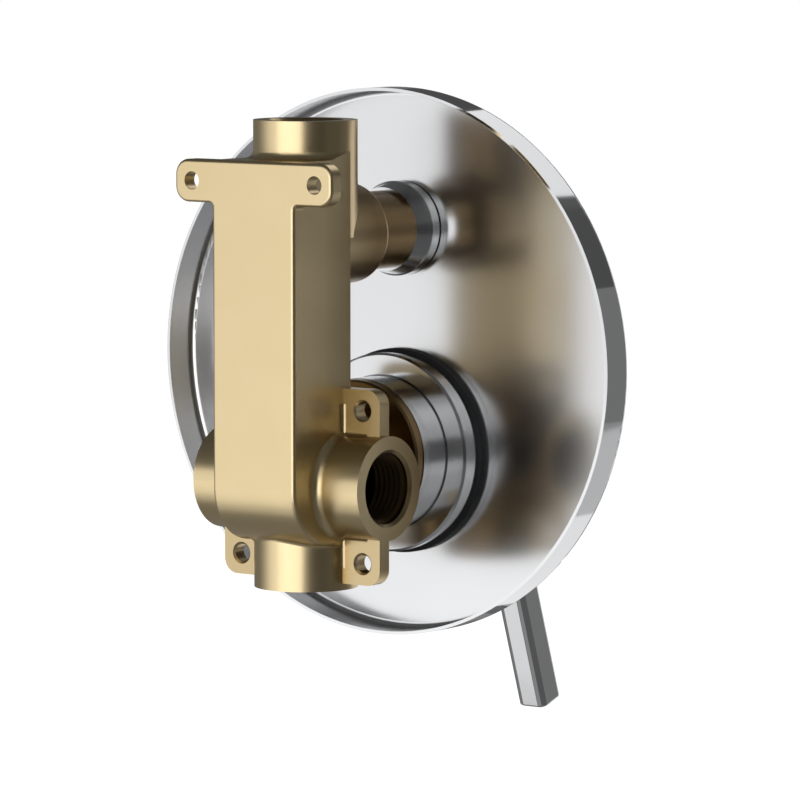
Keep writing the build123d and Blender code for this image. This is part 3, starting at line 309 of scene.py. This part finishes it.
grain, given, result = new_group(
    "grain",
    {"Vector": "Vector", "Scale": "Float", "Smoothest": "Float", "Roughest": "Float"},
    {"Roughness": "Float", "Height": "Float"},
)
patches = add_node(
    grain, "ShaderNodeTexNoise", Vector=given["Vector"], Scale=given["Scale"], Detail=noise_detail
).outputs[0]
spread = add_node(
    grain, "ShaderNodeMapRange", Value=patches, From_Min=noise_low, From_Max=noise_high,
    To_Min=given["Smoothest"], To_Max=given["Roughest"],
).outputs[0]
grit_scale = calculate(grain, "MULTIPLY", given["Scale"], grit_fineness)
grit = add_node(
    grain, "ShaderNodeTexNoise", Vector=given["Vector"], Scale=grit_scale, Detail=noise_detail
).outputs[0]
fill(grain, result["Roughness"], spread)
fill(grain, result["Height"], grit)

turning_marks, given, result = new_group(
    "turning_marks", {"Distance": "Float", "Pitch": "Float"}, {"Height": "Float"}
)
turns = calculate(turning_marks, "DIVIDE", given["Distance"], given["Pitch"])
turns_in_line = add_node(turning_marks, "ShaderNodeCombineXYZ", turns).outputs[0]
depth = add_node(
    turning_marks, "ShaderNodeTexNoise",
    Vector=turns_in_line, Scale=turning_noise_scale, Detail=turning_noise_detail,
).outputs[0]
ridge = calculate(turning_marks, "PINGPONG", turns, 0.5)
fill(turning_marks, result["Height"], calculate(turning_marks, "MULTIPLY", ridge, depth))

cast_brass, tree, shader = new_material("cast_brass", Metallic=1.0)
place = own_place(tree)
axes = add_node(tree, "ShaderNodeSeparateXYZ", place).outputs
sideways = calculate(tree, "ABSOLUTE", axes["X"])
from_side_axis = distance_from_axis(tree, axes["Y"], axes["Z"])
from_upright_axis = distance_from_axis(tree, axes["X"], axes["Y"])
faced_side = calculate(tree, "GREATER_THAN", sideways, faced_side_x)
faced_top = calculate(tree, "GREATER_THAN", axes["Z"], faced_top_z)
faced_low = calculate(tree, "LESS_THAN", axes["Z"], faced_low_z)
faced_end = calculate(tree, "MAXIMUM", faced_side, calculate(tree, "MAXIMUM", faced_top, faced_low))
near_side = calculate(tree, "GREATER_THAN", sideways, faced_side_x - bore_depth)
near_top = calculate(tree, "GREATER_THAN", axes["Z"], faced_top_z - bore_depth)
near_low = calculate(tree, "LESS_THAN", axes["Z"], faced_low_z + bore_depth)
near_upright = calculate(tree, "MAXIMUM", near_top, near_low)
by_side_axis = calculate(tree, "LESS_THAN", from_side_axis, bore_radius)
by_upright_axis = calculate(tree, "LESS_THAN", from_upright_axis, bore_radius)
in_side_bore = calculate(tree, "MULTIPLY", near_side, by_side_axis)
in_upright_bore = calculate(tree, "MULTIPLY", near_upright, by_upright_axis)
in_bore = calculate(tree, "MAXIMUM", in_side_bore, in_upright_bore)
skin = add_group(tree, clouding, Vector=place, Scale=skin_cloud_scale, Light=brass_light, Dark=brass_dark)["Color"]
# Painted shade: towards the room the skin is darkened to a dark brown.
painted_shade_towards_room = add_node(
    tree, "ShaderNodeMapRange", Value=axes["Y"], From_Min=painted_shade_from_y, From_Max=painted_shade_to_y
).outputs[0]
skin_with_painted_shade = mix(tree, "RGBA", painted_shade_towards_room, skin, painted_room_shade)
texture = add_group(
    tree, grain, Vector=place, Scale=skin_grain_scale, Smoothest=skin_smoothest, Roughest=skin_roughest
)
roughness = calculate(tree, "MULTIPLY_ADD", in_bore, bore_added_roughness, texture["Roughness"])
from_end_axis = mix(tree, "FLOAT", faced_side, from_upright_axis, from_side_axis)
rings = add_group(tree, turning_marks, Distance=from_end_axis, Pitch=facing_pitch)["Height"]
facing_bump = add_node(
    tree, "ShaderNodeBump", Strength=facing_bump_strength, Distance=facing_bump_height,
    Height=calculate(tree, "MULTIPLY", rings, faced_end),
).outputs[0]
skin_bump = add_node(
    tree, "ShaderNodeBump", Strength=skin_bump_strength, Distance=skin_bump_height,
    Height=texture["Height"], Normal=facing_bump,
).outputs[0]
# Painted shade: the bores are painted near black.
colour = mix(tree, "RGBA", in_bore, skin_with_painted_shade, bore_painted_shade)
set_inputs(tree, shader, Base_Color=colour, Roughness=roughness, Normal=skin_bump)
dress(cast_brass, "valve_body")

# Threads of the pipe ends
# Each pipe end is tapped with a G1/2 pipe thread, 14 threads to the inch, which starts behind its chamfer.
# The thread is cut in the casting's own brass, and is painted as dark as the bore, as painted shade.
thread_pitch, thread_turns, thread_steps = 0.001814, 6, 48
thread_root_radius, thread_depth, thread_start = 0.01056, 0.0011, 0.0018
thread_width = 0.9 * thread_pitch
# Painted shade: the threads' lighter colour is a dark brown, clouded with the bores' near black.
thread_painted_shade_light, thread_scale = (0.085, 0.056, 0.026, 1), 160.0
thread_smoothest, thread_roughest = 0.34, 0.46
same_place = 0.000001
pipe_ends = (
    # the thread's name, the middle of its pipe end, and the direction into the pipe
    ("hot_inlet_thread", (-0.0304, 0, 0), (1, 0, 0)),
    ("cold_inlet_thread", (0.0304, 0, 0), (-1, 0, 0)),
    ("top_outlet_thread", (0, 0, 0.1072), (0, 0, -1)),
    ("bottom_outlet_thread", (0, 0, -0.0309), (0, 0, 1)),
)
thread_brass, tree, shader = new_material("thread_brass", Metallic=1.0)
place = own_place(tree)
# Painted shade: the threads are painted dark, like the bores.
colour = add_group(tree, clouding, Vector=place, Scale=thread_scale, Light=thread_painted_shade_light, Dark=bore_painted_shade)["Color"]
roughness = add_group(
    tree, grain, Vector=place, Scale=thread_scale, Smoothest=thread_smoothest, Roughest=thread_roughest
)["Roughness"]
set_inputs(tree, shader, Base_Color=colour, Roughness=roughness)
# The profile is a triangle whose corner points to the pipe's axis. It starts with equal sides.
corner_radius = thread_width / math.sqrt(3)
side_distance = corner_radius / 2
equal_depth = corner_radius + side_distance
for name, end, inward in pipe_ends:
    bpy.ops.object.select_all(action="DESELECT")
    bpy.ops.mesh.primitive_circle_add(
        vertices=3, radius=corner_radius, rotation=(math.radians(90), math.radians(-90), 0)
    )
    thread = bpy.context.object
    thread.name = name
    bpy.ops.object.transform_apply(location=True, rotation=True, scale=True)
    bpy.ops.object.mode_set(mode="EDIT")
    bpy.ops.mesh.select_all(action="SELECT")
    bpy.ops.transform.translate(value=(-side_distance, 0, 0))
    bpy.ops.transform.resize(value=(thread_depth / equal_depth, 1, 1), center_override=(0, 0, 0))
    bpy.ops.transform.translate(value=(thread_root_radius, 0, 0))
    bpy.ops.object.mode_set(mode="OBJECT")
    screw = thread.modifiers.new("thread", "SCREW")
    screw.axis = "Z"
    screw.steps = screw.render_steps = thread_steps
    screw.iterations = thread_turns
    screw.screw_offset = thread_pitch
    screw.use_smooth_shade = False
    bpy.ops.object.modifier_apply(modifier="thread")
    bpy.ops.object.mode_set(mode="EDIT")
    bpy.ops.mesh.select_all(action="SELECT")
    bpy.ops.mesh.remove_doubles(threshold=same_place)
    bpy.ops.mesh.fill_holes(sides=3)
    bpy.ops.mesh.select_all(action="SELECT")
    bpy.ops.mesh.normals_make_consistent(inside=False)
    bpy.ops.object.mode_set(mode="OBJECT")
    thread.location = Vector(end) + Vector(inward) * thread_start
    thread.rotation_mode = "QUATERNION"
    thread.rotation_quaternion = Vector(inward).to_track_quat("Z", "Y")
    bpy.ops.object.transform_apply(location=True, rotation=True, scale=True)
    thread.data.materials.append(thread_brass)
    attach(thread, "mixer")

# Wall plate
# A dish pressed from sheet brass and chromed. Its front and rim are polished bright, and the back keeps the
# softer sheen of the sheet, so it mirrors the body only as a blur.
chrome_light, chrome_dark = (0.70, 0.705, 0.715, 1), (0.68, 0.685, 0.695, 1)
plate_axis_z, plate_floor_y, plate_inside_radius = 0.0329, -0.0480, 0.0817
plate_cloud_scale, polish_scale, sheen_scale = 18.0, 45.0, 30.0
polish_smoothest, polish_roughest = 0.045, 0.075
sheen_least_added, sheen_most_added = 0.13, 0.155
spun_pitch, spun_bump_strength, spun_bump_height = 0.0004, 0.12, 0.000004
plate_chrome, tree, shader = new_material("plate_chrome", Metallic=1.0)
place = own_place(tree)
axes = add_node(tree, "ShaderNodeSeparateXYZ", place).outputs
from_plate_axis = distance_from_axis(tree, axes["X"], calculate(tree, "SUBTRACT", axes["Z"], plate_axis_z))
behind_floor = calculate(tree, "GREATER_THAN", axes["Y"], plate_floor_y)
inside_rim = calculate(tree, "LESS_THAN", from_plate_axis, plate_inside_radius)
back = calculate(tree, "MULTIPLY", behind_floor, inside_rim)
colour = add_group(
    tree, clouding, Vector=place, Scale=plate_cloud_scale, Light=chrome_light, Dark=chrome_dark
)["Color"]
polish = add_group(
    tree, grain, Vector=place, Scale=polish_scale, Smoothest=polish_smoothest, Roughest=polish_roughest
)["Roughness"]
sheen = add_group(
    tree, grain, Vector=place, Scale=sheen_scale, Smoothest=sheen_least_added, Roughest=sheen_most_added
)["Roughness"]
roughness = calculate(tree, "MULTIPLY_ADD", back, sheen, polish)
rings = add_group(tree, turning_marks, Distance=from_plate_axis, Pitch=spun_pitch)["Height"]
spun_bump = add_node(
    tree, "ShaderNodeBump", Strength=spun_bump_strength, Distance=spun_bump_height,
    Height=calculate(tree, "MULTIPLY", rings, back),
).outputs[0]
set_inputs(tree, shader, Base_Color=colour, Roughness=roughness, Normal=spun_bump)
dress(plate_chrome, "wall_plate")

# Sleeve, ring and collar
# Tubes and rings turned from brass bar, polished and chromed. The turning still shows as faint lines round
# their axes, which run straight into the wall.
turned_cloud_scale, turned_grain_scale = 30.0, 70.0
turned_smoothest, turned_roughest = 0.13, 0.17
turned_pitch, turned_bump_strength, turned_bump_height = 0.00028, 0.10, 0.000003
turned_chrome, tree, shader = new_material("turned_chrome", Metallic=1.0)
place = own_place(tree)
depth_in_wall = add_node(tree, "ShaderNodeSeparateXYZ", place).outputs["Y"]
colour = add_group(
    tree, clouding, Vector=place, Scale=turned_cloud_scale, Light=chrome_light, Dark=chrome_dark
)["Color"]
roughness = add_group(
    tree, grain, Vector=place, Scale=turned_grain_scale, Smoothest=turned_smoothest, Roughest=turned_roughest
)["Roughness"]
lines = add_group(tree, turning_marks, Distance=depth_in_wall, Pitch=turned_pitch)["Height"]
turned_bump = add_node(
    tree, "ShaderNodeBump", Strength=turned_bump_strength, Distance=turned_bump_height, Height=lines
).outputs[0]
set_inputs(tree, shader, Base_Color=colour, Roughness=roughness, Normal=turned_bump)
dress(turned_chrome, "cover_sleeve", "plate_ring", "diverter_collar")

# Rubber seals
# Flat gaskets lie at the plate's ring and at the diverter's collar, and round seals sit in grooves. All are
# moulded from black rubber with a dull, slightly dusty skin.
even_cloud_scale, even_grain_scale, even_bump_strength = 60.0, 120.0, 0.3
rubber_specular = 0.2


def even_finish(name, light, dark, metallic, smoothest, roughest, grit_height, specular=0.5):
    """A material with soft clouds of colour and the grain of one process all over."""
    material, tree, shader = new_material(name, Metallic=metallic, Specular_IOR_Level=specular)
    place = own_place(tree)
    colour = add_group(tree, clouding, Vector=place, Scale=even_cloud_scale, Light=light, Dark=dark)["Color"]
    texture = add_group(tree, grain, Vector=place, Scale=even_grain_scale, Smoothest=smoothest, Roughest=roughest)
    bump = add_node(
        tree, "ShaderNodeBump", Strength=even_bump_strength, Distance=grit_height, Height=texture["Height"]
    ).outputs[0]
    set_inputs(tree, shader, Base_Color=colour, Roughness=texture["Roughness"], Normal=bump)
    return material


black_rubber = even_finish(
    "black_rubber", light=(0.022, 0.022, 0.023, 1), dark=(0.010, 0.010, 0.011, 1), metallic=0.0,
    smoothest=0.5, roughest=0.68, grit_height=0.00003, specular=rubber_specular,
)
dress(black_rubber, "plate_gasket", "diverter_seal", "base_seals", "sleeve_seal", "shell_oring", "spindle_oring")

# Moulded parts of the cartridge
# Its base, housing, guide and disc carrier are moulded from dark plastic, with the fine spark texture of the
# mould.
dark_plastic = even_finish(
    "dark_plastic", light=(0.085, 0.085, 0.09, 1), dark=(0.06, 0.06, 0.065, 1), metallic=0.0,
    smoothest=0.42, roughest=0.55, grit_height=0.00003,
)
dress(dark_plastic, "cartridge_base", "cartridge_housing", "stem_guide", "disc_carrier")

# Ceramic discs
# Two discs of white alumina, pressed and fired. Their faces are lapped so flat that they seal against each
# other by themselves.
lapped_ceramic = even_finish(
    "lapped_ceramic", light=(0.90, 0.89, 0.86, 1), dark=(0.86, 0.85, 0.81, 1), metallic=0.0,
    smoothest=0.10, roughest=0.18, grit_height=0.000002,
)
dress(lapped_ceramic, "fixed_disc", "moving_disc")

# Turned brass parts
# The cartridge's nut and stem, and the diverter's shell, rotor, spindle and gland nut, are turned and milled
# from brass bar and left bare.
turned_brass = even_finish(
    "turned_brass", light=(0.76, 0.60, 0.33, 1), dark=(0.72, 0.56, 0.30, 1), metallic=1.0,
    smoothest=0.20, roughest=0.265, grit_height=0.000002,
)
dress(
    turned_brass,
    "cartridge_nut", "cartridge_stem", "diverter_shell", "diverter_rotor", "diverter_spindle", "gland_nut",
)

# Steel parts
# The stem's pin, the spindle's clip and the two grub screws are stainless steel, ground or stamped and left
# bright.
bright_steel = even_finish(
    "bright_steel", light=(0.62, 0.62, 0.63, 1), dark=(0.55, 0.55, 0.56, 1), metallic=1.0,
    smoothest=0.285, roughest=0.36, grit_height=0.000002,
)
dress(bright_steel, "stem_pin", "spindle_clip", "knob_grub_screw", "handle_grub_screw")

# Plug over the grub screw
# A small round plug moulded from glossy grey plastic. It is pushed into the handle's hole after the screw is
# tight.
grey_plastic = even_finish(
    "grey_plastic", light=(0.50, 0.51, 0.53, 1), dark=(0.45, 0.46, 0.48, 1), metallic=0.0,
    smoothest=0.25, roughest=0.35, grit_height=0.00001,
)
dress(grey_plastic, "grub_plug")

# Handle, lever and knob
# The handle is a chromed brass cylinder with a square lever screwed into it, and the knob is chromed too.
# They are what the hand meets, so they have the brightest polish.
hand_chrome = even_finish(
    "hand_chrome", light=chrome_light, dark=chrome_dark, metallic=1.0,
    smoothest=0.05, roughest=0.085, grit_height=0.000001,
)
dress(hand_chrome, "handle_body", "lever", "diverter_knob")
